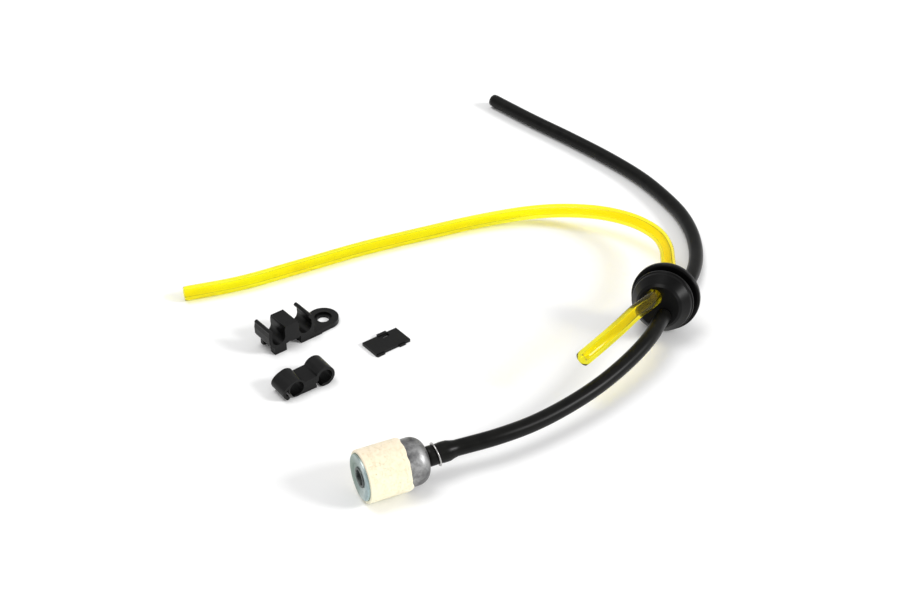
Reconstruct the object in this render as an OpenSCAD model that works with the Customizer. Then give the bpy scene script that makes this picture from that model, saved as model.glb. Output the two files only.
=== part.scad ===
// Two-line fuel pick-up with a felt filter, a tank grommet and three loose hose-clip pieces.
// Units are millimetres. +Z is up, and the table the pieces lie on is at Z = 0.
// The origin lies on the table, midway along the rigid pieces in X and in Y.

/* [Filter head] */
// Diameter of the felt sleeve
felt_d = 15.6; // [15:0.2:15.6]
// Diameter of the die-cast end cap
cap_d = 13.9; // [13.5:0.1:14]
// Diameter of the end disc
disc_d = 13.6; // [12.8:0.1:13.8]
// Length of the head from the disc to the back of the cap
head_len = 20.0; // [19:0.5:22]
// Diameter of the hole in the hollow rivet
rivet_bore_d = 4.4; // [3.4:0.1:4.5]

/* [Hoses] */
// Outside diameter of both hoses
hose_d = 4.8; // [4.5:0.1:5.0]
// Bore of both hoses
hose_bore_d = 2.4; // [2.2:0.1:2.8]

/* [Grommet] */
// Diameter of the rear flange
flange_d = 22.0; // [21.0:0.2:22]
// Thickness of the rear flange
flange_t = 2.4; // [1.8:0.1:2.6]
// Diameter of the neck that sits in the tank wall
neck_d = 16.5; // [15.5:0.5:18]
// Diameter of the bulb in front of the neck
bulb_d = 19.8; // [18.8:0.2:20.4]
// Distance between the two hose bores
bore_pitch = 7.0; // [6.8:0.1:7.2]

/* [Clip pieces] */
// Bore of the channels that grip a hose
grip_d = 4.8; // [4.6:0.1:5.0]
// Distance between the two channels
grip_pitch = 10.0; // [9.6:0.1:10.2]
// Width of the saddle along the hoses
saddle_w = 8.2; // [7.4:0.2:9]
// Width of the double clip along the hoses
clip_w = 7.2; // [6:0.2:8]
// Diameter of the screw hole in the saddle's ear
ear_hole_d = 3.8; // [3.2:0.1:5]
// Thickness of the small plate
plate_t = 1.0; // [0.9:0.1:1.4]

/* [Hidden] */
$fn = 72;

// Where the filter head lies: centre of its disc face, and its heading in plan.
head_at = [-34.1, -41.2, 7.8];
head_turn = 25;
head_dir = [cos(head_turn), sin(head_turn), 0];

// Stations along the head's axis, from the outer face of the disc.
disc_t = 1.0;
felt_front = 0.6;
felt_back = 13.2;
felt_bore_d = 10.0;
cap_front = 12.2;
cap_round = 3.9;
fit_gap = 0.05;
nipple_d = 3.6;
barb_d = 4.2;
nipple_end = head_len + 7.2;
fuel_bore_d = 2.2;
core_d = 7.6;
core_bore_d = 5.4;
hose_swell_d = 6.1;
wire_d = 0.5;
wire_ring_r = 3.4;
wire_at = head_len + 3.3;
wire_tilt = 10;

// Grommet: centre of the flange, turn in plan and dip of its axis to the rear.
grommet_at = [59.1, 40.85, 10.82];
grommet_turn = 21;
grommet_dip = 14;
bore_roll = 56;
grommet_nose = 10.2;
hose_fit = 0.05;
axis_dir = [
    sin(grommet_turn) * cos(grommet_dip),
    cos(grommet_turn) * cos(grommet_dip),
    -sin(grommet_dip)
];
across_dir = [cos(grommet_turn), -sin(grommet_turn), 0];
rise_dir = [
    sin(grommet_turn) * sin(grommet_dip),
    cos(grommet_turn) * sin(grommet_dip),
    cos(grommet_dip)
];
pair_dir = cos(bore_roll) * across_dir - sin(bore_roll) * rise_dir;

// A point on a hose where it runs straight through the grommet.
function in_grommet(side, s) = grommet_at + side * bore_pitch / 2 * pair_dir + s * axis_dir;

// A point on the head's axis.
function on_head(s) = head_at + s * head_dir;

// Hose routes, from the filter end, with the outside and bore radius at each point.
hose_sides = 12;
hose_r = hose_d / 2;
hose_in = hose_bore_d / 2;
swell_r = hose_swell_d / 2;
swell_in = 2.25;
pickup_route = [
    on_head(head_len + 0.1),
    on_head(head_len + 7),
    on_head(head_len + 9.5),
    [4, -24.2, 8],
    [14.5, -18.2, 7.8],
    [25, -10.6, 8.2],
    [35.5, -1.4, 9.1],
    [45.4, 9.5, 10.4],
    [51.6, 18, 11.5],
    in_grommet(1, -14),
    in_grommet(1, 6),
    in_grommet(1, 17),
    [70, 61.5, 3.5],
    [72.7, 70, 3.0],
    [74.2, 80, 2.45],
    [74, 91, 2.45],
    [71.8, 102.3, 2.45],
    [67.5, 113, 2.45],
    [60.5, 126, 2.45],
    [50, 140, 2.45],
    [36.5, 155, 2.45],
    [22, 170, 2.45],
    [8, 185.5, 2.45]
];
pickup_radii = [for (k = [0:len(pickup_route) - 1]) k < 2 ? [swell_r, swell_in] : [hose_r, hose_in]];
return_route = [
    [29.9, 1.6, 16],
    [35.9, 7.9, 17.1],
    [42.2, 15.6, 17.6],
    [47.5, 23.2, 17.4],
    in_grommet(-1, -14),
    in_grommet(-1, 6),
    [61.4, 55, 11.2],
    [62.1, 62.5, 10.8],
    [62.3, 69.3, 10.4],
    [60.5, 78, 9.8],
    [54.5, 86.5, 9.2],
    [44.6, 93.8, 8],
    [32.6, 98.6, 6.2],
    [20, 100.4, 4.4],
    [2.5, 97.4, 3],
    [-18, 89.8, 2.45],
    [-39, 80.4, 2.45],
    [-59, 69.8, 2.45],
    [-78, 60, 2.45],
    [-95.5, 54, 2.45]
];
return_radii = [for (p = return_route) [hose_r, hose_in]];

// Clip pieces: a corner or a centre, and the heading of each.
saddle_at = [-63.3, 24.4, 0];
saddle_turn = 39;
grip_r = grip_d / 2;
saddle_grip = [1.7, 5.7];
saddle_h = 8.9;
ear_at = [22.0, 5.4];
ear_r = 5.0;
ear_t = 1.6;
cap_at = [-54.8, 3.6, 3.36];
cap_turn = 35.5;
ring_out = [2.95, 3.35];
plate_at = [-29.0, 30.45, 0];
plate_turn = 38;
plate_l = 13.1;
plate_w = 7.6;

// A tube with its own outside and bore radius at each point of a level-ish route.
module swept_tube(route, radii)
{
    n = len(route);
    m = hose_sides;
    function unit(v) = v / norm(v);
    function heading(k) = unit(route[min(k + 1, n - 1)] - route[max(k - 1, 0)]);
    function side_dir(k) = unit(cross(heading(k), [0, 0, 1]));
    function up_dir(k) = cross(side_dir(k), heading(k));
    function ring(k, r) = [
        for (j = [0:m - 1])
            route[k] + r * (cos(360 * j / m) * side_dir(k) + sin(360 * j / m) * up_dir(k))
    ];
    pts = [
        for (w = [0, 1], k = [0:n - 1]) each ring(k, radii[k][w])
    ];
    function at(w, k, j) = (w * n + k) * m + j % m;
    walls = [
        for (w = [0, 1], k = [0:n - 2], j = [0:m - 1], h = [0, 1])
            let (
                a = at(w, k, j),
                b = at(w, k, j + 1),
                c = at(w, k + 1, j + 1),
                d = at(w, k + 1, j),
                t = h == 0 ? [a, b, c] : [a, c, d]
            )
            w == 0 ? t : [t[0], t[2], t[1]]
    ];
    ends = [
        for (k = [0, n - 1], j = [0:m - 1], h = [0, 1])
            let (
                a = at(0, k, j),
                b = at(0, k, j + 1),
                c = at(1, k, j + 1),
                d = at(1, k, j),
                t = h == 0 ? [a, c, b] : [a, d, c]
            )
            k == 0 ? t : [t[0], t[2], t[1]]
    ];
    polyhedron(points = pts, faces = concat(walls, ends));
}

// Half section of a round bar from z0 to z1 with a rounded corner at each end.
module bar_section(r, z0, z1, c0, c1)
{
    translate([0, z0 + c0])
        square([r, z1 - z0 - c0 - c1]);
    translate([0, z0])
        square([r - c0, z1 - z0 - c1]);
    translate([0, z0 + c0])
        square([r - c1, z1 - z0 - c0]);
    intersection()
    {
        union()
        {
            translate([r - c0, z0 + c0])
                circle(c0);
            translate([r - c1, z1 - c1])
                circle(c1);
        }
        translate([0, z0])
            square([r, z1 - z0]);
    }
}

module on_filter_axis()
{
    translate(head_at)
        rotate([0, 0, head_turn])
            rotate([0, 90, 0])
                children();
}

module filter_cap()
{
    barb_z = head_len + 4.0;
    color([0.55, 0.57, 0.56])
        on_filter_axis()
            rotate_extrude()
                difference()
                {
                    union()
                    {
                        difference()
                        {
                            bar_section(cap_d / 2, cap_front, head_len, 0.4, cap_round);
                            translate([0, cap_front - 1])
                                square([core_bore_d / 2, 4]);
                        }
                        translate([0, cap_front + 3])
                            square([nipple_d / 2, nipple_end - cap_front - 3]);
                        polygon([
                            [0, barb_z], [barb_d / 2, barb_z], [barb_d / 2, barb_z + 0.6],
                            [nipple_d / 2, nipple_end - 0.4], [0, nipple_end - 0.4]
                        ]);
                    }
                    translate([0, cap_front - 1])
                        square([fuel_bore_d / 2, nipple_end - cap_front + 2]);
                }
}

module core_tube()
{
    z0 = disc_t + fit_gap;
    z1 = cap_front - fit_gap;
    rim_t = 0.6;
    rim_d = felt_bore_d - 0.2;
    port_d = 2.4;
    color([0.85, 0.84, 0.8])
        on_filter_axis()
            difference()
            {
                union()
                {
                    translate([0, 0, z0])
                        cylinder(d = core_d, h = z1 - z0);
                    translate([0, 0, z0])
                        cylinder(d = rim_d, h = rim_t);
                    translate([0, 0, z1 - rim_t])
                        cylinder(d = rim_d, h = rim_t);
                }
                translate([0, 0, z0 - 1])
                    cylinder(d = core_bore_d, h = z1 - z0 + 2);
                for (z = [z0 + 3.2, z1 - 3.2], a = [0, 60, 120])
                    translate([0, 0, z])
                        rotate([0, 90, a])
                            cylinder(d = port_d, h = felt_d, center = true, $fn = 36);
            }
}

module mesh_screen()
{
    z0 = disc_t + fit_gap + 0.7;
    z1 = cap_front - fit_gap - 0.7;
    screen_in = core_d / 2 + fit_gap;
    screen_t = 0.3;
    opening_d = 1.8;
    color([0.75, 0.76, 0.74])
        on_filter_axis()
            difference()
            {
                translate([0, 0, z0])
                    cylinder(r = screen_in + screen_t, h = z1 - z0);
                translate([0, 0, z0 - 1])
                    cylinder(r = screen_in, h = z1 - z0 + 2);
                for (z = [z0 + 1.7:2.2:z1 - 1.5], a = [0, 60, 120])
                    translate([0, 0, z])
                        rotate([0, 90, a])
                            cylinder(d = opening_d, h = felt_d, center = true, $fn = 36);
            }
}

module felt_sleeve()
{
    color([0.96, 0.93, 0.8])
        on_filter_axis()
            rotate_extrude()
                difference()
                {
                    bar_section(felt_d / 2, felt_front, felt_back, 1.2, 0.8);
                    translate([0, felt_front - 1])
                        square([felt_bore_d / 2, felt_back - felt_front + 2]);
                    translate([0, felt_front - 1])
                        square([disc_d / 2 + fit_gap, disc_t + fit_gap - felt_front + 1]);
                    translate([0, cap_front - fit_gap])
                        square([cap_d / 2 + fit_gap, 3]);
                }
}

module end_disc()
{
    dish = 0.35;
    color([0.6, 0.63, 0.6])
        on_filter_axis()
            rotate_extrude()
                difference()
                {
                    bar_section(disc_d / 2, 0, disc_t, 0.3, 0.1);
                    square([rivet_bore_d / 2 + 0.45, disc_t]);
                    polygon([[0, -1], [disc_d / 2 - 1.6, -1], [disc_d / 2 - 2.2, dish], [0, dish]]);
                }
}

module centre_rivet()
{
    rim_r = rivet_bore_d / 2 + 0.9;
    shank_r = rivet_bore_d / 2 + 0.4;
    shank_end = 5.0;
    floor_t = 0.5;
    color([0.6, 0.62, 0.6])
        on_filter_axis()
            rotate_extrude()
                difference()
                {
                    union()
                    {
                        translate([0, 0.02])
                            square([rim_r, 0.3]);
                        square([shank_r, shank_end]);
                    }
                    translate([0, -1])
                        square([rivet_bore_d / 2, shank_end - floor_t + 1]);
                }
}

module wire_clip()
{
    tail_l = 2.0;
    color([0.3, 0.29, 0.28])
        on_filter_axis()
            translate([0, 0, wire_at])
                rotate([0, -wire_tilt, 0])
                {
                    rotate([0, 0, 20])
                        rotate_extrude(angle = 320)
                            translate([wire_ring_r, 0])
                                circle(d = wire_d, $fn = 48);
                    rotate([0, 0, 20])
                        translate([wire_ring_r, 0, 0])
                        {
                            sphere(d = wire_d + 0.06, $fn = 48);
                            rotate([90, 0, 10])
                                cylinder(d = wire_d, h = tail_l, $fn = 48);
                        }
                }
}

module pickup_hose()
{
    color([0.07, 0.07, 0.07])
        swept_tube(pickup_route, pickup_radii);
}

module return_hose()
{
    color([1.0, 0.88, 0.05, 0.8])
        swept_tube(return_route, return_radii);
}

module grommet()
{
    neck_front = -flange_t / 2 - 2.4;
    lip_t = 1.6;
    nose_r = 6.5;
    color([0.08, 0.08, 0.08])
        translate(grommet_at)
            rotate([0, 0, -grommet_turn])
                rotate([-grommet_dip, 0, 0])
                    rotate([-90, 0, 0])
                        difference()
                        {
                            union()
                            {
                                rotate_extrude()
                                {
                                    bar_section(flange_d / 2, -flange_t / 2, flange_t / 2, 0.7, 0.7);
                                    translate([0, neck_front - 0.5])
                                        square([neck_d / 2, 0.5 - neck_front]);
                                    bar_section(bulb_d / 2, neck_front - lip_t, neck_front, 0.6, 0.6);
                                }
                                translate([0, 0, neck_front - lip_t - 1.0])
                                    cylinder(r1 = bulb_d / 2 - 0.6, r2 = bulb_d / 2 - 0.1, h = lip_t + 0.4);
                                translate([0, 0, 0.8 - grommet_nose])
                                    cylinder(
                                        r1 = nose_r + 0.8, r2 = bulb_d / 2 - 0.6,
                                        h = grommet_nose + neck_front - lip_t - 1.8
                                    );
                                translate([0, 0, -grommet_nose])
                                    cylinder(r1 = nose_r, r2 = nose_r + 0.8, h = 0.8);
                            }
                            for (side = [-1, 1])
                                rotate([0, 0, bore_roll])
                                    translate([side * bore_pitch / 2, 0, -grommet_nose - 1])
                                        cylinder(r = hose_r + hose_fit, h = grommet_nose + flange_t + 2);
                        }
}

// Side view of the saddle: X runs across the two hoses, Y is height.
module saddle_section()
{
    wall = 1.15;
    slot_w = 4.7;
    leg_w = 4.3;
    right_foot = 9.8;
    tip_r = 0.65;
    grips = [saddle_grip, saddle_grip + [grip_pitch, 0]];
    block = [grips[0][0] + slot_w / 2, grips[1][0] - slot_w / 2];
    difference()
    {
        union()
        {
            square([leg_w, 4]);
            translate([right_foot, 0])
                square([5, 4.5]);
            translate([right_foot, 0])
                square([8, ear_t]);
            polygon([
                [block[0], 2.6], [block[1], 2.6], [block[1], 7.2], [block[1] - 0.4, saddle_h],
                [block[0] + 0.3, saddle_h], [block[0], 7.8]
            ]);
            for (at = grips)
                translate(at)
                    circle(grip_r + wall);
        }
        for (at = grips)
            translate(at)
            {
                circle(grip_r);
                translate([-slot_w / 2, 0])
                    square([slot_w, 5]);
            }
        polygon([
            [leg_w, -1], [right_foot, -1], [right_foot, 0.4], [7.6, 2.7], [5.2, 2.8], [leg_w, 1.6]
        ]);
    }
    polygon([[-1.8, 4.8], [-0.75, 4.8], [-0.8, 7.2], [-0.5, 8.8], [-1.6, 9.0], [-1.9, 7.2]]);
    polygon([[14.2, 4.8], [15.2, 4.8], [15.3, 7.0], [14.4, 9.0], [13.1, 8.6], [14.1, 7.2]]);
    for (tip = [[-1.05, 8.9], [13.7, 8.8]])
        translate(tip)
            circle(tip_r, $fn = 32);
}

module clip_saddle()
{
    side_arch = [2.6, 6.6, 1.7];
    sink_d = ear_hole_d + 1.8;
    sink_h = 0.7;
    color([0.1, 0.1, 0.1])
        translate(saddle_at)
            rotate([0, 0, saddle_turn])
                difference()
                {
                    union()
                    {
                        translate([0, saddle_w, 0])
                            rotate([90, 0, 0])
                                linear_extrude(saddle_w)
                                    saddle_section();
                        linear_extrude(ear_t)
                        {
                            translate(ear_at)
                                circle(ear_r);
                            polygon([
                                [16, 0.2], ear_at - [0, ear_r - 0.05], ear_at + [0, ear_r - 0.05],
                                [16, saddle_w - 0.2]
                            ]);
                        }
                    }
                    translate([-1, side_arch[0], -1])
                        cube([6.2, side_arch[1] - side_arch[0], side_arch[2] + 1]);
                    translate([ear_at[0], ear_at[1], -1])
                        cylinder(d = ear_hole_d, h = ear_t + 2);
                    translate([ear_at[0], ear_at[1], ear_t - sink_h])
                        cylinder(d = sink_d, h = sink_h + 1);
                }
}

// A curved band between two directions seen from its centre, less than half a turn apart.
module arc_band(at, out_r, band_t, from, to)
{
    reach = 2 * out_r;
    translate(at)
        intersection()
        {
            difference()
            {
                circle(out_r);
                circle(out_r - band_t);
            }
            polygon([[0, 0], for (a = [from, (from + to) / 2, to]) reach * [cos(a), sin(a)]]);
        }
}

// Side view of the double clip: X runs across the two hoses, Y is height from their axes.
module cap_section()
{
    slot_w = 2.4;
    slot_turn = [220, 220];
    web_end = grip_pitch - 3.1;
    arm_t = 0.95;
    arm_top = [-0.24, -2.6];
    arm_side = [-2.48, -0.61];
    arm_joint = 138.4;
    arm_end = 245;
    bead_r = 0.7;
    difference()
    {
        union()
        {
            for (side = [0, 1])
                translate([side * grip_pitch, 0])
                    circle(ring_out[side]);
            polygon([
                [0.6, -2.85], [web_end, -2.75], [web_end, -2.0], [web_end - 0.4, -1.2],
                [web_end + 0.4, -0.4], [web_end + 0.4, 1.4], [1.5, 1.0]
            ]);
            arc_band(arm_top, 5.3, arm_t, 92, arm_joint + 1);
            arc_band(arm_side, 2.3, arm_t, arm_joint - 1, arm_end);
            translate(arm_side + (2.3 - arm_t / 2) * [cos(arm_end), sin(arm_end)])
                circle(bead_r, $fn = 32);
        }
        for (side = [0, 1])
            translate([side * grip_pitch, 0])
            {
                circle(grip_r);
                rotate(slot_turn[side])
                    translate([0, -slot_w / 2])
                        square([ring_out[side] + 0.1, slot_w]);
            }
    }
}

module clip_cap()
{
    color([0.1, 0.1, 0.1])
        translate(cap_at)
            rotate([0, 0, cap_turn])
                translate([0, clip_w, 0])
                    rotate([90, 0, 0])
                        linear_extrude(clip_w)
                            cap_section();
}

module clip_plate()
{
    catch_at = [-0.7, plate_w / 2 - 0.6];
    catch = [3.4, 1.1, plate_t + 0.3];
    notch_at = [0.3, plate_w / 2 - 2.0];
    notch = [2.4, 1.2];
    tabs = [[-6.4, 2.9], [2.2, 2.3]];
    tab_out = 0.5;
    tab_t = 0.7;
    color([0.1, 0.1, 0.1])
        translate(plate_at)
            rotate([0, 0, plate_turn])
                difference()
                {
                    union()
                    {
                        translate([-plate_l / 2, -plate_w / 2, 0])
                            cube([plate_l, plate_w, plate_t]);
                        translate(catch_at)
                            cube(catch);
                        for (tab = tabs)
                            translate([tab[0], -plate_w / 2 - tab_out, 0])
                                cube([tab[1], tab_out + 0.1, tab_t]);
                    }
                    translate([notch_at[0], notch_at[1], -1])
                        cube([notch[0], notch[1], plate_t + 2]);
                }
}

filter_cap();
core_tube();
mesh_screen();
felt_sleeve();
end_disc();
centre_rivet();
wire_clip();
pickup_hose();
grommet();
return_hose();
clip_saddle();
clip_cap();
clip_plate();
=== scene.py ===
"""Fuel pick-up filter with its two hoses, tank grommet and loose hose-clip pieces."""
import math

import bmesh
import bpy
import numpy as np
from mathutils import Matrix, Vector


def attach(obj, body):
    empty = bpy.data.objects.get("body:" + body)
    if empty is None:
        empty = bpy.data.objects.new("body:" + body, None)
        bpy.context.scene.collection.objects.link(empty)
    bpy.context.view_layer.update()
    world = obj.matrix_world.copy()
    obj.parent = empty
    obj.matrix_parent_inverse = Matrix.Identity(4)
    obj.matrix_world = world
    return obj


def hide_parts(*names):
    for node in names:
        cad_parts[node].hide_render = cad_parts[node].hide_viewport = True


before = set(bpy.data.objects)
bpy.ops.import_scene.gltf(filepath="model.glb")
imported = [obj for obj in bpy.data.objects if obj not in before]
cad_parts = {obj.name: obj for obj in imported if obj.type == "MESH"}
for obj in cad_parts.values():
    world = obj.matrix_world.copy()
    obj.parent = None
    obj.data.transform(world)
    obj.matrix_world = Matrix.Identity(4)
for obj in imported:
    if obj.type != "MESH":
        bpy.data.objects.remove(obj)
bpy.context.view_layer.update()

MM = 0.001
RNG = np.random.default_rng(7)

# ---------------------------------------------------------------- camera

CAMERA_AT = (-0.009, -0.371, 0.3031)
CAMERA_ELEVATION = 35.5
SENSOR = 36.0
LENS = 64.0


def make_camera():
    data = bpy.data.cameras.new("camera")
    data.sensor_width = SENSOR
    data.lens = LENS
    data.clip_start, data.clip_end = 0.01, 20
    camera = bpy.data.objects.new("camera", data)
    camera.location = CAMERA_AT
    camera.rotation_euler = (math.radians(90 - CAMERA_ELEVATION), 0, 0)
    bpy.context.scene.collection.objects.link(camera)
    bpy.context.scene.camera = camera


make_camera()

# ---------------------------------------------------------------- the frame's directions

HEAD_AT = np.array((-0.0341, -0.0412, 0.0078))
HEAD_TURN = math.radians(25)
HEAD_DIR = np.array((math.cos(HEAD_TURN), math.sin(HEAD_TURN), 0.0))
HEAD_SIDE = np.array((-math.sin(HEAD_TURN), math.cos(HEAD_TURN), 0.0))
UP = np.array((0.0, 0.0, 1.0))
HEAD_LEN = 0.020

GROMMET_AT = np.array((0.0591, 0.04085, 0.01082))
GROMMET_TURN = math.radians(21)
GROMMET_DIP = math.radians(14)
BORE_ROLL = math.radians(56)
BORE_PITCH = 0.007
AXIS_DIR = np.array((
    math.sin(GROMMET_TURN) * math.cos(GROMMET_DIP),
    math.cos(GROMMET_TURN) * math.cos(GROMMET_DIP),
    -math.sin(GROMMET_DIP),
))
ACROSS_DIR = np.array((math.cos(GROMMET_TURN), -math.sin(GROMMET_TURN), 0.0))
RISE_DIR = np.cross(ACROSS_DIR, AXIS_DIR)
PAIR_DIR = math.cos(BORE_ROLL) * ACROSS_DIR - math.sin(BORE_ROLL) * RISE_DIR


def on_head(station):
    """A point on the filter head's axis, measured from the outer face of its disc."""
    return tuple(HEAD_AT + station * HEAD_DIR)


def in_grommet(side, station):
    """A point on a hose where it runs straight through the grommet."""
    return tuple(GROMMET_AT + side * BORE_PITCH / 2 * PAIR_DIR + station * AXIS_DIR)


# ---------------------------------------------------------------- mesh helpers


def unit(v):
    return v / np.linalg.norm(v)


def new_object(name, verts, faces, material, uv=None):
    """A smooth-shaded mesh object. uv holds one pair per vertex."""
    mesh = bpy.data.meshes.new(name)
    mesh.from_pydata([tuple(v) for v in verts], [], faces)
    mesh.polygons.foreach_set("use_smooth", [True] * len(mesh.polygons))
    if uv is not None:
        layer = mesh.uv_layers.new(name="UVMap")
        corner_verts = np.empty(len(mesh.loops), dtype=int)
        mesh.loops.foreach_get("vertex_index", corner_verts)
        layer.data.foreach_set("uv", np.asarray(uv, dtype=float)[corner_verts].ravel())
    mesh.materials.append(material)
    mesh.update()
    obj = bpy.data.objects.new(name, mesh)
    bpy.context.scene.collection.objects.link(obj)
    return obj


def face_outwards(obj):
    work = bmesh.new()
    work.from_mesh(obj.data)
    bmesh.ops.recalc_face_normals(work, faces=work.faces)
    work.to_mesh(obj.data)
    work.free()


def smooth_line(points, step):
    """A centripetal Catmull-Rom curve through the points, sampled about every step."""
    p = [np.array(q, float) for q in points]
    p = [2 * p[0] - p[1]] + p + [2 * p[-1] - p[-2]]
    line = []
    for a, b, c, d in zip(p, p[1:], p[2:], p[3:]):
        t0 = 0.0
        t1 = t0 + math.sqrt(np.linalg.norm(b - a))
        t2 = t1 + math.sqrt(np.linalg.norm(c - b))
        t3 = t2 + math.sqrt(np.linalg.norm(d - c))
        count = max(2, int(round(np.linalg.norm(c - b) / step)))
        for t in np.linspace(t1, t2, count, endpoint=False):
            ab = (t1 - t) / (t1 - t0) * a + (t - t0) / (t1 - t0) * b
            bc = (t2 - t) / (t2 - t1) * b + (t - t1) / (t2 - t1) * c
            cd = (t3 - t) / (t3 - t2) * c + (t - t2) / (t3 - t2) * d
            abc = (t2 - t) / (t2 - t0) * ab + (t - t0) / (t2 - t0) * bc
            bcd = (t3 - t) / (t3 - t1) * bc + (t - t1) / (t3 - t1) * cd
            line.append((t2 - t) / (t2 - t1) * abc + (t - t1) / (t2 - t1) * bcd)
    line.append(p[-2])
    return np.array(line)


def distances(line):
    steps = np.linalg.norm(np.diff(line, axis=0), axis=1)
    return np.concatenate(([0.0], np.cumsum(steps)))


def hose(name, line, outer, inner, sides, material):
    """A hollow tube along a line, with an outside and a bore radius at each point."""
    n = len(line)
    tangents = np.gradient(line, axis=0)
    run = distances(line)
    angles = np.linspace(0, 2 * math.pi, sides + 1)
    lip = 0.12 * MM
    rings, radii, places = [], [], []
    for k in range(n):
        rings.append((k, outer[k] - (lip if k in (0, n - 1) else 0.0)))
    for k in reversed(range(n)):
        rings.append((k, inner[k] + (lip if k in (0, n - 1) else 0.0)))
    verts, uv = [], []
    for index, (k, radius) in enumerate(rings):
        ahead = unit(tangents[k])
        side = unit(np.cross(ahead, UP))
        rise = np.cross(side, ahead)
        for angle in angles:
            verts.append(line[k] + radius * (math.cos(angle) * side + math.sin(angle) * rise))
            uv.append((angle / (2 * math.pi), run[k] * 100))
    faces = []
    width = sides + 1
    for i in range(len(rings)):
        j = (i + 1) % len(rings)
        for s in range(sides):
            faces.append((i * width + s, i * width + s + 1, j * width + s + 1, j * width + s))
    obj = new_object(name, verts, faces, material, uv)
    weld(obj)
    face_outwards(obj)
    return obj


def weld(obj, gap=1e-6):
    work = bmesh.new()
    work.from_mesh(obj.data)
    bmesh.ops.remove_doubles(work, verts=work.verts, dist=gap)
    work.to_mesh(obj.data)
    work.free()


def rounded(profile, radius, steps=5):
    """The (r, z) outline with its corners rounded; radius is one number or one per corner."""
    out = []
    n = len(profile)
    for i in range(n):
        corner = np.array(profile[i], float)
        before = np.array(profile[i - 1], float)
        after = np.array(profile[(i + 1) % n], float)
        r = radius[i] if hasattr(radius, "__len__") else radius
        to_before, to_after = before - corner, after - corner
        r = min(r, 0.48 * np.linalg.norm(to_before), 0.48 * np.linalg.norm(to_after))
        if r < 1e-7:
            out.append(corner)
            continue
        start = corner + unit(to_before) * r
        end = corner + unit(to_after) * r
        for t in np.linspace(0, 1, steps):
            out.append((1 - t) ** 2 * start + 2 * t * (1 - t) * corner + t**2 * end)
    return out


def lathe(name, profile, sides, at, axis, side, material, warp=None):
    """A closed (r, z) outline turned about an axis. warp(r, z, angle) may move a point."""
    rise = np.cross(axis, side)
    verts = []
    for j in range(sides):
        angle = 2 * math.pi * j / sides
        out = math.cos(angle) * side + math.sin(angle) * rise
        for r, z in profile:
            if warp:
                r, z = warp(r, z, angle)
            verts.append(at + z * axis + r * out)
    m = len(profile)
    faces = []
    for j in range(sides):
        k = (j + 1) % sides
        for i in range(m):
            h = (i + 1) % m
            faces.append((j * m + i, j * m + h, k * m + h, k * m + i))
    obj = new_object(name, verts, faces, material)
    weld(obj)
    face_outwards(obj)
    return obj


def round_wire(name, points, radius, material, sides=14):
    """A solid round wire with flat ends, swept without twist."""
    line = np.array(points)
    tangents = np.gradient(line, axis=0)
    verts, faces = [], []
    guide = unit(np.cross(unit(tangents[0]), HEAD_DIR))
    for k, point in enumerate(line):
        ahead = unit(tangents[k])
        guide = unit(guide - ahead * np.dot(guide, ahead))
        other = np.cross(ahead, guide)
        for s in range(sides):
            a = 2 * math.pi * s / sides
            verts.append(point + radius * (math.cos(a) * guide + math.sin(a) * other))
    for k in range(len(line) - 1):
        for s in range(sides):
            t = (s + 1) % sides
            faces.append((k * sides + s, k * sides + t, (k + 1) * sides + t, (k + 1) * sides + s))
    faces.append(tuple(range(sides)))
    faces.append(tuple((len(line) - 1) * sides + s for s in range(sides)))
    piece = new_object(name, verts, faces, material)
    face_outwards(piece)
    return piece


# ---------------------------------------------------------------- materials


def blank_material(name):
    mat = bpy.data.materials.new(name)
    mat.use_nodes = True
    return mat, mat.node_tree.nodes, mat.node_tree.links, mat.node_tree.nodes["Principled BSDF"]


def noise(nodes, links, scale, detail=3.0, coords="Object", stretch=None, roughness=0.5):
    """A noise texture on object coordinates, optionally stretched."""
    where = nodes.new("ShaderNodeTexCoord")
    texture = nodes.new("ShaderNodeTexNoise")
    texture.inputs["Scale"].default_value = scale
    texture.inputs["Detail"].default_value = detail
    texture.inputs["Roughness"].default_value = roughness
    source = where.outputs[coords]
    if stretch is not None:
        mapping = nodes.new("ShaderNodeMapping")
        mapping.inputs["Scale"].default_value = stretch
        links.new(source, mapping.inputs["Vector"])
        source = mapping.outputs["Vector"]
    links.new(source, texture.inputs["Vector"])
    return texture.outputs["Fac"]


def ramp(nodes, links, value, stops):
    node = nodes.new("ShaderNodeValToRGB")
    elements = node.color_ramp.elements
    while len(elements) < len(stops):
        elements.new(0.5)
    for element, (place, colour) in zip(elements, stops):
        element.position = place
        element.color = (*colour, 1)
    links.new(value, node.inputs["Fac"])
    return node.outputs["Color"]


def blend(nodes, links, factor, first, second, mode="MIX"):
    """Mixes two colours, each a socket or a plain (r, g, b)."""
    node = nodes.new("ShaderNodeMix")
    node.data_type = "RGBA"
    node.blend_type = mode
    for name, value in (("Factor", factor), ("A", first), ("B", second)):
        if isinstance(value, bpy.types.NodeSocket):
            links.new(value, node.inputs[name])
        elif name == "Factor":
            node.inputs[name].default_value = value
        else:
            node.inputs[name].default_value = (*value, 1)
    return node.outputs["Result"]


def span(nodes, links, value, low, high):
    """Maps 0 to 1 onto low to high."""
    node = nodes.new("ShaderNodeMapRange")
    node.inputs["To Min"].default_value = low
    node.inputs["To Max"].default_value = high
    links.new(value, node.inputs["Value"])
    return node.outputs["Result"]


def along(nodes, links, direction, start, end):
    """0 to 1 between two distances along a direction, from the object's origin."""
    where = nodes.new("ShaderNodeTexCoord")
    dot = nodes.new("ShaderNodeVectorMath")
    dot.operation = "DOT_PRODUCT"
    dot.inputs[1].default_value = direction
    links.new(where.outputs["Object"], dot.inputs[0])
    node = nodes.new("ShaderNodeMapRange")
    node.inputs["From Min"].default_value = start
    node.inputs["From Max"].default_value = end
    links.new(dot.outputs["Value"], node.inputs["Value"])
    return node.outputs["Result"]


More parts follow.
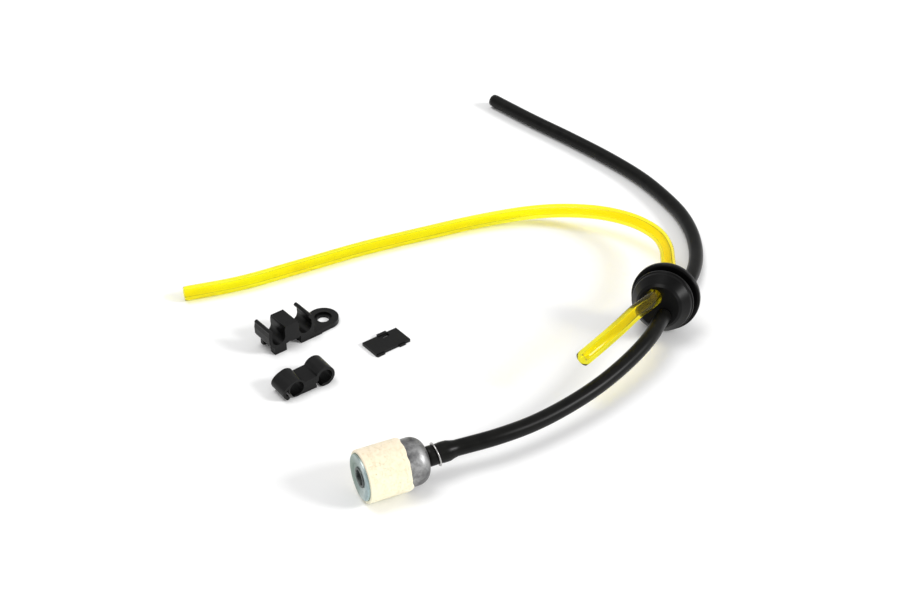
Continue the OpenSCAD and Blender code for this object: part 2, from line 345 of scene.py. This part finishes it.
def bump(nodes, links, shader, heights, strength, distance):
    """One bump from several heights, chained."""
    last = None
    for height, part in heights:
        node = nodes.new("ShaderNodeBump")
        node.inputs["Strength"].default_value = strength * part
        node.inputs["Distance"].default_value = distance
        links.new(height, node.inputs["Height"])
        if last is not None:
            links.new(last, node.inputs["Normal"])
        last = node.outputs["Normal"]
    links.new(last, shader.inputs["Normal"])


def black_hose_material():
    mat, nodes, links, shader = blank_material("black_hose_rubber")
    tone = noise(nodes, links, 260, 4)
    lines = noise(nodes, links, 1.0, 3, coords="UV", stretch=(60, 0.6, 1))
    links.new(ramp(nodes, links, tone, [(0.3, (0.002, 0.002, 0.002)), (0.7, (0.006, 0.006, 0.005))]),
              shader.inputs["Base Color"])
    links.new(span(nodes, links, tone, 0.28, 0.40), shader.inputs["Roughness"])
    shader.inputs["Specular IOR Level"].default_value = 0.13
    bump(nodes, links, shader, [(lines, 1.0), (tone, 0.5)], 0.25, 0.00006)
    return mat


def yellow_hose_material():
    mat, nodes, links, shader = blank_material("yellow_hose_plastic")
    tone = noise(nodes, links, 60, 2)
    lines = noise(nodes, links, 1.0, 3, coords="UV", stretch=(40, 0.4, 1))
    lemon = ramp(nodes, links, tone, [(0.3, (1.0, 0.925, 0.03)), (0.7, (1.0, 0.98, 0.05))])
    # Painted shade: the yellow turns deeper gold toward +x, where the hose runs by the grommet and bends
    # behind it.
    painted_shade_toward_grommet = along(nodes, links, (1, 0, 0), 0.015, 0.05)
    links.new(blend(nodes, links, painted_shade_toward_grommet, lemon, (1.0, 0.86, 0.02)), shader.inputs["Base Color"])
    shader.inputs["Transmission Weight"].default_value = 0.985
    shader.inputs["IOR"].default_value = 1.055
    shader.inputs["Coat Weight"].default_value = 0.3
    shader.inputs["Coat Roughness"].default_value = 0.14
    links.new(span(nodes, links, tone, 0.09, 0.13), shader.inputs["Roughness"])
    bump(nodes, links, shader, [(lines, 1.0)], 0.05, 0.00002)
    return mat


def grommet_material():
    mat, nodes, links, shader = blank_material("grommet_rubber")
    tone = noise(nodes, links, 400, 5)
    patches = noise(nodes, links, 120, 3)
    links.new(ramp(nodes, links, patches, [(0.3, (0.001, 0.001, 0.001)), (0.7, (0.003, 0.003, 0.003))]),
              shader.inputs["Base Color"])
    links.new(span(nodes, links, patches, 0.28, 0.40), shader.inputs["Roughness"])
    shader.inputs["Specular IOR Level"].default_value = 0.11
    bump(nodes, links, shader, [(tone, 1.0), (patches, 0.6)], 0.22, 0.0001)
    return mat


def clip_material():
    mat, nodes, links, shader = blank_material("clip_plastic")
    tone = noise(nodes, links, 700, 4)
    patches = noise(nodes, links, 150, 3)
    links.new(ramp(nodes, links, patches, [(0.3, (0.001, 0.001, 0.001)), (0.7, (0.004, 0.004, 0.004))]),
              shader.inputs["Base Color"])
    links.new(span(nodes, links, patches, 0.30, 0.44), shader.inputs["Roughness"])
    shader.inputs["Specular IOR Level"].default_value = 0.21
    bump(nodes, links, shader, [(tone, 1.0), (patches, 0.5)], 0.25, 0.00008)
    return mat


def cast_material():
    mat, nodes, links, shader = blank_material("die_cast_metal")
    grain = noise(nodes, links, 900, 5)
    flow = noise(nodes, links, 230, 5, roughness=0.6)
    links.new(ramp(nodes, links, flow, [(0.36, (0.09, 0.09, 0.095)), (0.5, (0.21, 0.21, 0.21)),
                                        (0.64, (0.37, 0.37, 0.37))]),
              shader.inputs["Base Color"])
    shader.inputs["Metallic"].default_value = 0.9
    links.new(span(nodes, links, flow, 0.36, 0.52), shader.inputs["Roughness"])
    bump(nodes, links, shader, [(grain, 0.6), (flow, 1.0)], 0.5, 0.00016)
    return mat


def plated_material():
    mat, nodes, links, shader = blank_material("zinc_plate")
    stain = noise(nodes, links, 260, 5)
    grain = noise(nodes, links, 1500, 3)
    plate = ramp(nodes, links, stain, [(0.3, (0.30, 0.36, 0.34)), (0.6, (0.48, 0.55, 0.53)),
                                       (0.8, (0.66, 0.70, 0.70))])
    # Painted light across the disc along HEAD_SIDE: a bluish painted reflection and a bright painted
    # highlight on one side, and painted shade to grey-green on the other.
    middle = float(np.dot(HEAD_AT, HEAD_SIDE))
    across = along(nodes, links, tuple(HEAD_SIDE), middle - 0.006, middle + 0.006)
    painted_light_across_disc = ramp(nodes, links, across, [(0.1, (0.95, 1.05, 1.12)), (0.3, (1.35, 1.33, 1.36)),
                                       (0.55, (0.80, 0.84, 0.84)), (0.9, (0.62, 0.69, 0.63))])
    links.new(blend(nodes, links, 1.0, plate, painted_light_across_disc, "MULTIPLY"), shader.inputs["Base Color"])
    shader.inputs["Metallic"].default_value = 0.85
    links.new(span(nodes, links, stain, 0.3, 0.5), shader.inputs["Roughness"])
    bump(nodes, links, shader, [(grain, 0.5), (stain, 1.0)], 0.3, 0.00008)
    return mat


def rivet_material():
    mat, nodes, links, shader = blank_material("rivet_painted_shade")
    stain = noise(nodes, links, 420, 4)
    # Painted shade: the whole rivet is coloured dark so that its deep bore reads as shaded.
    links.new(ramp(nodes, links, stain, [(0.3, (0.07, 0.08, 0.08)), (0.7, (0.17, 0.19, 0.18))]),
              shader.inputs["Base Color"])
    shader.inputs["Metallic"].default_value = 0.8
    links.new(span(nodes, links, stain, 0.35, 0.5), shader.inputs["Roughness"])
    bump(nodes, links, shader, [(stain, 1.0)], 0.2, 0.00005)
    return mat


def wire_material():
    mat, nodes, links, shader = blank_material("drawn_wire")
    stain = noise(nodes, links, 900, 4)
    links.new(ramp(nodes, links, stain, [(0.3, (0.42, 0.41, 0.40)), (0.7, (0.62, 0.61, 0.60))]),
              shader.inputs["Base Color"])
    shader.inputs["Metallic"].default_value = 1.0
    links.new(span(nodes, links, stain, 0.22, 0.4), shader.inputs["Roughness"])
    bump(nodes, links, shader, [(stain, 1.0)], 0.2, 0.00004)
    return mat


def felt_material():
    mat, nodes, links, shader = blank_material("felt_cloth")
    blotch = noise(nodes, links, 160, 3)
    matted = noise(nodes, links, 1100, 6, roughness=0.7)
    pits = noise(nodes, links, 420, 5, roughness=0.65)
    cream = ramp(nodes, links, blotch, [(0.25, (0.93, 0.84, 0.60)), (0.5, (0.96, 0.91, 0.66)),
                                        (0.8, (0.97, 0.95, 0.70))])
    # Painted shade: the felt turns a darker tan towards its top.
    height = along(nodes, links, (0, 0, 1), 0.009, 0.0155)
    links.new(blend(nodes, links, height, cream, (0.90, 0.77, 0.58)), shader.inputs["Base Color"])
    shader.inputs["Roughness"].default_value = 1.0
    shader.inputs["Specular IOR Level"].default_value = 0.1
    shader.inputs["Sheen Weight"].default_value = 0.4
    shader.inputs["Sheen Roughness"].default_value = 0.6
    bump(nodes, links, shader, [(pits, 0.55), (matted, 0.8)], 0.35, 0.0002)
    return mat


def fibre_material():
    mat, nodes, links, shader = blank_material("felt_fibre")
    shade = noise(nodes, links, 700, 2)
    links.new(ramp(nodes, links, shade, [(0.3, (0.92, 0.85, 0.60)), (0.7, (0.98, 0.95, 0.74))]),
              shader.inputs["Base Color"])
    shader.inputs["Roughness"].default_value = 0.9
    return mat


def core_material():
    mat, nodes, links, shader = blank_material("core_plastic")
    tone = noise(nodes, links, 500, 3)
    links.new(ramp(nodes, links, tone, [(0.3, (0.72, 0.71, 0.66)), (0.7, (0.84, 0.83, 0.80))]),
              shader.inputs["Base Color"])
    shader.inputs["Roughness"].default_value = 0.5
    bump(nodes, links, shader, [(tone, 1.0)], 0.2, 0.00005)
    return mat


# ---------------------------------------------------------------- hoses

HOSE_R = 0.0024
BORE_R = 0.0012
# where the hose is stretched over the barb, and where the wire clip squeezes it
SWELL_R = 0.00305
SWELL_BORE_R = 0.00225
SWELL_LENGTH = 0.0064
SWELL_FADE = 0.0030
WIRE_STATION = 0.0033
PINCH_DEPTH = 0.00017
PINCH_WIDTH = 0.0008
MOUTH_DRAW_IN = 0.00008
MOUTH_LENGTH = 0.004

PICKUP_ROUTE = [
    on_head(HEAD_LEN + 0.0001),
    on_head(HEAD_LEN + 0.0070),
    on_head(HEAD_LEN + 0.0095),
    (0.0040, -0.0242, 0.0080),
    (0.0145, -0.0182, 0.0078),
    (0.0250, -0.0106, 0.0082),
    (0.0355, -0.0014, 0.0091),
    (0.0454, 0.0095, 0.0104),
    (0.0516, 0.0180, 0.0115),
    in_grommet(1, -0.014),
    in_grommet(1, 0.006),
    in_grommet(1, 0.017),
    (0.0700, 0.0615, 0.0035),
    (0.0727, 0.0700, 0.0030),
    (0.0742, 0.0800, 0.00245),
    (0.0740, 0.0910, 0.00245),
    (0.0718, 0.1023, 0.00245),
    (0.0675, 0.1130, 0.00245),
    (0.0605, 0.1260, 0.00245),
    (0.0500, 0.1400, 0.00245),
    (0.0365, 0.1550, 0.00245),
    (0.0220, 0.1700, 0.00245),
    (0.0080, 0.1855, 0.00245),
]
RETURN_ROUTE = [
    (0.0299, 0.0016, 0.0160),
    (0.0359, 0.0079, 0.0171),
    (0.0422, 0.0156, 0.0176),
    (0.0475, 0.0232, 0.0174),
    in_grommet(-1, -0.014),
    in_grommet(-1, 0.006),
    (0.0614, 0.0550, 0.0112),
    (0.0621, 0.0625, 0.0108),
    (0.0623, 0.0693, 0.0104),
    (0.0605, 0.0780, 0.0098),
    (0.0545, 0.0865, 0.0092),
    (0.0446, 0.0938, 0.0080),
    (0.0326, 0.0986, 0.0062),
    (0.0200, 0.1004, 0.0044),
    (0.0025, 0.0974, 0.0030),
    (-0.0180, 0.0898, 0.00245),
    (-0.0390, 0.0804, 0.00245),
    (-0.0590, 0.0698, 0.00245),
    (-0.0780, 0.0600, 0.00245),
    (-0.0955, 0.0540, 0.00245),
]
LINE_STEP = 0.0012


def make_pickup_hose():
    line = smooth_line(PICKUP_ROUTE, LINE_STEP)
    run = distances(line)
    swell = 1 - np.clip((run - SWELL_LENGTH) / SWELL_FADE, 0, 1)
    swell = swell * swell * (3 - 2 * swell)
    pinch = PINCH_DEPTH * np.exp(-((run - WIRE_STATION) / PINCH_WIDTH) ** 2)
    draw_in = MOUTH_DRAW_IN * np.clip(1 - run / MOUTH_LENGTH, 0, 1)
    outer = HOSE_R + (SWELL_R - HOSE_R) * swell - pinch - draw_in
    inner = BORE_R + (SWELL_BORE_R - BORE_R) * swell
    piece = hose("pickup_hose_tube", line, outer, inner, 32, black_hose_material())
    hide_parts("pickup_hose")
    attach(piece, "pickup_line")


def make_return_hose():
    line = smooth_line(RETURN_ROUTE, LINE_STEP)
    outer = np.full(len(line), HOSE_R)
    inner = np.full(len(line), BORE_R)
    piece = hose("return_hose_tube", line, outer, inner, 32, yellow_hose_material())
    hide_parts("return_hose")
    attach(piece, "return_line")


make_pickup_hose()
make_return_hose()

# ---------------------------------------------------------------- filter head


def head_lathe(name, profile_mm, radius_mm, material, sides=96, warp=None, steps=5):
    """A turned piece of the head: (radius, station) corners and their rounding, in millimetres."""
    profile = rounded([(r * MM, z * MM) for r, z in profile_mm],
                      [q * MM for q in radius_mm], steps)
    piece = lathe(name, profile, sides, HEAD_AT, HEAD_DIR, HEAD_SIDE, material, warp)
    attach(piece, "filter_head")
    return piece


WAVES = ((2, 0.5), (3, 0.8), (5, 0.7), (7, 0.5), (11, 0.35), (17, 0.2))


def wavy(angle, seed, amount):
    """An uneven value that closes on itself round the circle."""
    total = 0.0
    for k, (turns, weight) in enumerate(WAVES):
        total += weight * math.sin(turns * angle + seed * (k + 1) * 1.7)
    return amount * total


# the felt's radius and its two ends along the head, in millimetres
FELT_R = 7.72
FELT_FRONT = 0.65
FELT_BACK = 13.2
FELT_LOOSE_FROM = 10.5


def felt_warp(r, z, angle):
    """An uneven rear edge and a slightly uneven surface."""
    if r > 6.9 * MM:
        back = max(0.0, (z / MM - FELT_LOOSE_FROM) / (FELT_BACK - FELT_LOOSE_FROM))
        z = z + back * wavy(angle, 3, 0.22 * MM) - back * 0.1 * MM
        r = r + wavy(angle + z * 900, 1, 0.018 * MM) - 0.02 * MM
    return r, z


def make_felt():
    """The sleeve. Its outer face has steps along it, so that the warp has points to move."""
    outline = [(5.0, 1.05), (6.85, 1.05), (6.9, FELT_FRONT), (FELT_R, FELT_FRONT)]
    corners = [0, 0, 0.1, 1.3]
    steps = 22
    for i in range(1, steps):
        outline.append((FELT_R, FELT_FRONT + 1.4 + (FELT_BACK - 2.6 - FELT_FRONT) * i / steps))
        corners.append(0)
    outline += [(FELT_R, FELT_BACK), (7.05, FELT_BACK), (7.05, 12.15), (5.0, 12.15)]
    corners += [0.7, 0.2, 0, 0]
    piece = head_lathe("felt_sleeve_cloth", outline, corners, felt_material(), 240, felt_warp)
    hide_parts("felt_sleeve")


FIBRES = 2600


def make_fibres():
    """Loose fibres that lie on and stand off the felt."""
    verts, faces = [], []
    for _ in range(FIBRES):
        angle = RNG.uniform(0, 2 * math.pi)
        z = RNG.uniform(FELT_FRONT + 0.6, FELT_BACK - 0.3) * MM
        heading = RNG.uniform(0, 2 * math.pi)
        length = RNG.uniform(0.4, 1.5) * MM
        thick = RNG.uniform(0.010, 0.020) * MM
        lift = RNG.uniform(0.0, 0.22) ** 1.5 * 1.1 * MM
        bend = RNG.uniform(-1.4, 1.4)
        base = FELT_R * MM - 0.06 * MM
        count = 5
        start = len(verts)
        for k in range(count):
            t = k / (count - 1)
            turn = heading + bend * t
            reach = length * (t - 0.5)
            zz = z + reach * math.cos(turn)
            aa = angle + reach * math.sin(turn) / (FELT_R * MM)
            rr = base + lift * math.sin(math.pi * t) + 0.05 * MM
            zz = min(max(zz, (FELT_FRONT + 0.5) * MM), (FELT_BACK + 0.1) * MM)
            out = math.cos(aa) * HEAD_SIDE + math.sin(aa) * np.cross(HEAD_DIR, HEAD_SIDE)
            centre = HEAD_AT + zz * HEAD_DIR + rr * out
            across = unit(np.cross(out, HEAD_DIR))
            for c in range(3):
                q = 2 * math.pi * c / 3
                verts.append(centre + thick * (math.cos(q) * across + math.sin(q) * HEAD_DIR))
        for k in range(count - 1):
            for c in range(3):
                d = (c + 1) % 3
                a = start + k * 3
                faces.append((a + c, a + d, a + 3 + d, a + 3 + c))
        faces.append((start + 2, start + 1, start))
        end = start + (count - 1) * 3
        faces.append((end, end + 1, end + 2))
    piece = new_object("felt_fibres", verts, faces, fibre_material())
    face_outwards(piece)
    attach(piece, "filter_head")


def make_cap():
    """The casting: a skirt, an elliptical shoulder, and a barbed nipple inside the hose."""
    cap_r = 6.95
    start_z = 16.1
    end_z = 20.0
    end_r = 3.05
    steps = 10
    shoulder = []
    for i in range(1, steps):
        a = math.pi / 2 * i / steps
        shoulder.append((end_r + (cap_r - end_r) * math.cos(a), start_z + (end_z - start_z) * math.sin(a)))
    outline = [(2.7, 12.2), (cap_r, 12.2), (cap_r, start_z)] + shoulder
    radii = [0, 0.3, 0] + [0] * len(shoulder)
    outline += [(end_r, end_z), (1.8, end_z), (1.8, 24.0), (2.1, 24.05), (2.1, 24.6), (1.75, 27.2),
                (1.1, 27.2), (1.1, 15.2), (2.7, 15.2)]
    radii += [0.1, 0.1, 0, 0.05, 0.1, 0.15, 0.1, 0.1, 0.2]
    piece = head_lathe("filter_cap_casting", outline, radii, cast_material())
    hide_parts("filter_cap")


def make_disc():
    """A pressed disc with a shallow dish round the rivet and a turned-in rim."""
    outline = [(2.68, 0.40), (4.2, 0.36), (4.75, 0.06), (6.55, 0.0), (6.8, 0.25), (6.8, 1.0), (2.68, 1.0)]
    radii = [0.1, 0.5, 0.4, 0.2, 0.3, 0.1, 0]
    piece = head_lathe("end_disc_pressing", outline, radii, plated_material(), 128)
    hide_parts("end_disc")


def make_rivet():
    """A hollow rivet with a rolled head and a closed floor."""
    outline = [(2.22, 0.15), (2.55, -0.02), (3.0, 0.05), (3.1, 0.33), (2.6, 0.33), (2.6, 5.0), (0.0005, 5.0),
               (0.0005, 4.5), (2.2, 4.5)]
    radii = [0.12, 0.25, 0.15, 0.05, 0.02, 0.2, 0, 0, 0.3]
    piece = head_lathe("centre_rivet_tube", outline, radii, rivet_material(), 72)
    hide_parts("centre_rivet")


def make_wire():
    """An open ring of wire round the hose, leaning back, with a short straight tail."""
    ring_r = 3.4 * MM
    wire_r = 0.25 * MM
    tilt = math.radians(10)
    centre = HEAD_AT + (HEAD_LEN + WIRE_STATION) * HEAD_DIR
    normal = math.cos(tilt) * HEAD_DIR + math.sin(tilt) * UP
    tall = math.cos(tilt) * UP - math.sin(tilt) * HEAD_DIR
    across = np.cross(normal, tall)
    points = []
    for a in np.linspace(math.radians(-70), math.radians(250), 60):
        points.append(centre + ring_r * (math.cos(a) * across + math.sin(a) * tall))
    end = points[-1]
    onward = unit(points[-1] - points[-2])
    points += [end + onward * q * MM for q in (0.4, 0.9, 1.4)]
    piece = round_wire("wire_clip_ring", points, wire_r, wire_material())
    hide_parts("wire_clip")
    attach(piece, "clip_ring")


make_felt()
make_fibres()
make_cap()
make_disc()
make_rivet()
make_wire()

# ---------------------------------------------------------------- CAD nodes that are kept


def dress(node, material, edge=None):
    """Gives a CAD node a better material and, where asked, soft edges."""
    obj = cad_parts[node]
    for slot in obj.material_slots:
        slot.material = material
    if edge:
        bevel = obj.modifiers.new("soft_edges", "BEVEL")
        bevel.width = edge
        bevel.segments = 3
        bevel.limit_method = "ANGLE"
        bevel.angle_limit = math.radians(35)
        bevel.harden_normals = False


clip_plastic = clip_material()
dress("grommet", grommet_material())
dress("clip_saddle", clip_plastic, 0.00022)
dress("clip_cap", clip_plastic, 0.0002)
dress("clip_plate", clip_plastic, 0.00018)
dress("core_tube", core_material())
dress("mesh_screen", core_material())

# ---------------------------------------------------------------- floor and lights


def make_floor():
    mat, nodes, links, shader = blank_material("pale_floor")
    shader.inputs["Base Color"].default_value = (0.93, 0.93, 0.93, 1)
    shader.inputs["Roughness"].default_value = 0.7
    shader.inputs["Specular IOR Level"].default_value = 0.2
    size = 3.0
    verts = [(-size, -size, 0), (size, -size, 0), (size, size, 0), (-size, size, 0)]
    floor = new_object("floor", verts, [(0, 1, 2, 3)], mat)
    floor.location.z = -0.00002


def soft_sun(name, towards_light, spread, strength):
    data = bpy.data.lights.new(name, "SUN")
    data.angle = math.radians(spread)
    data.energy = strength
    light = bpy.data.objects.new(name, data)
    light.rotation_euler = Vector(towards_light).to_track_quat("Z", "Y").to_euler()
    bpy.context.scene.collection.objects.link(light)


def make_world():
    world = bpy.data.worlds.new("soft_white")
    world.use_nodes = True
    background = world.node_tree.nodes["Background"]
    background.inputs["Color"].default_value = (1, 1, 1, 1)
    background.inputs["Strength"].default_value = 0.62
    bpy.context.scene.world = world


make_floor()
make_world()
soft_sun("overhead", (-0.28, 0.06, 1.0), 30, 1.05)
soft_sun("right_low", (0.85, -0.20, 0.50), 16, 1.9)
bpy.context.scene.view_settings.view_transform = "Standard"
